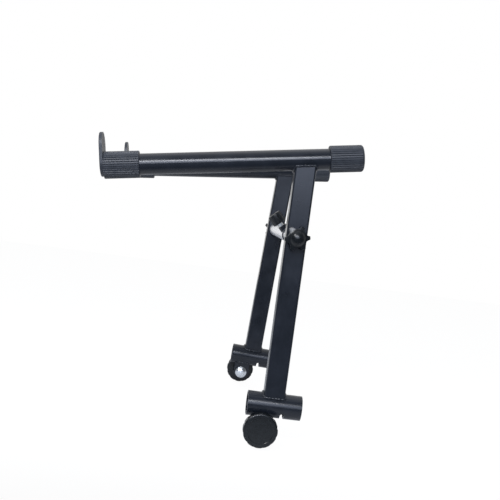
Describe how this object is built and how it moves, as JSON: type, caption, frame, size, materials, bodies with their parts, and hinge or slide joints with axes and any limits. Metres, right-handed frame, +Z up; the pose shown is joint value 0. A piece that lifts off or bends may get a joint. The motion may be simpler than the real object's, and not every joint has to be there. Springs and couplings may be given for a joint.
{
  "type": "second-tier bracket set for a keyboard stand",
  "caption": "Upper tier for a crossed-leg keyboard stand: two welded tube brackets with ribbed end caps and clamp sleeves, joined by a telescoping crossbar.",
  "frame": {"origin": "centre of the right bracket's clamp bore, on the centreline of its upright", "axes": "+X to the player's right along the crossbar, +Y to the back along the clamp bore, +Z up along the right upright"},
  "size_m": [0.4182, 0.3825, 0.441],
  "materials": {
    "powder_coat": "semi-gloss black powder coat",
    "cap_rubber": "matt black moulded rubber",
    "knob_plastic": "satin black moulded plastic",
    "zinc_plate": "bright zinc plate",
    "bright_tube": "bright nickel plate",
    "insert_brass": "machined brass",
    "nylon": "black nylon"
  },
  "bodies": {
    "right_bracket": {"right_arm_tube": "powder_coat", "right_upright_tube": "powder_coat", "right_clamp_sleeve": "powder_coat", "right_inner_ear": "powder_coat", "right_outer_ear": "powder_coat", "right_welds": "powder_coat", "right_front_cap": "cap_rubber", "right_rear_cap": "cap_rubber", "right_clamp_bolt": "zinc_plate", "right_clamp_washer": "zinc_plate", "right_star_washer": "zinc_plate"},
    "right_clamp_knob": {"right_clamp_knob": "knob_plastic", "right_clamp_insert": "insert_brass"},
    "right_star_knob": {"right_star_knob": "knob_plastic", "right_star_screw": "zinc_plate"},
    "left_bracket": {"left_arm_tube": "powder_coat", "left_upright_tube": "powder_coat", "left_clamp_sleeve": "powder_coat", "left_inner_ear": "powder_coat", "left_outer_ear": "powder_coat", "left_welds": "powder_coat", "left_front_cap": "cap_rubber", "left_rear_cap": "cap_rubber", "left_clamp_bolt": "zinc_plate", "left_clamp_washer": "zinc_plate", "left_star_washer": "zinc_plate"},
    "left_clamp_knob": {"left_clamp_knob": "knob_plastic", "left_clamp_insert": "insert_brass"},
    "left_star_knob": {"left_star_knob": "knob_plastic", "left_star_screw": "zinc_plate"},
    "crossbar_inner": {"inner_tube": "bright_tube", "inner_glide": "nylon", "right_end_plug": "zinc_plate", "right_friction_washer": "nylon"},
    "crossbar_outer": {"outer_tube": "bright_tube", "mouth_bush": "nylon", "lock_boss": "powder_coat", "left_end_plug": "zinc_plate", "left_friction_washer": "nylon"},
    "lock_knob": {"lock_knob": "knob_plastic", "lock_screw": "zinc_plate"}
  },
  "joints": [
    {"name": "right_clamp_knob_turn", "type": "hinge", "parent": "right_bracket", "child": "right_clamp_knob", "pos_m": [0, -0.0155, -0.031], "axis": [1, 0, 0], "range_deg": [0, 720]},
    {"name": "right_star_knob_turn", "type": "hinge", "parent": "right_bracket", "child": "right_star_knob", "pos_m": [0, 0, 0.243], "axis": [1, 0, 0], "range_deg": [0, 720]},
    {"name": "right_fold", "type": "hinge", "parent": "right_bracket", "child": "crossbar_inner", "pos_m": [0, 0, 0.243], "axis": [1, 0, 0], "range_deg": [-180, 180]},
    {"name": "width_slide", "type": "slide", "parent": "crossbar_inner", "child": "crossbar_outer", "axis": [-1, 0, 0], "range_m": [-0.07, 0.11]},
    {"name": "lock_knob_turn", "type": "hinge", "parent": "crossbar_outer", "child": "lock_knob", "pos_m": [-0.103, 0, 0.243], "axis": [0, -0.682, 0.7314], "range_deg": [0, 540]},
    {"name": "left_fold", "type": "hinge", "parent": "crossbar_outer", "child": "left_bracket", "pos_m": [-0.35, 0, 0.243], "axis": [1, 0, 0], "range_deg": [-180, 180]},
    {"name": "left_clamp_knob_turn", "type": "hinge", "parent": "left_bracket", "child": "left_clamp_knob", "pos_m": [-0.35, -0.02887, -0.02992], "axis": [-1, 0, 0], "range_deg": [0, 720]},
    {"name": "left_star_knob_turn", "type": "hinge", "parent": "left_bracket", "child": "left_star_knob", "pos_m": [-0.35, 0, 0.243], "axis": [-1, 0, 0], "range_deg": [0, 720]}
  ]
}
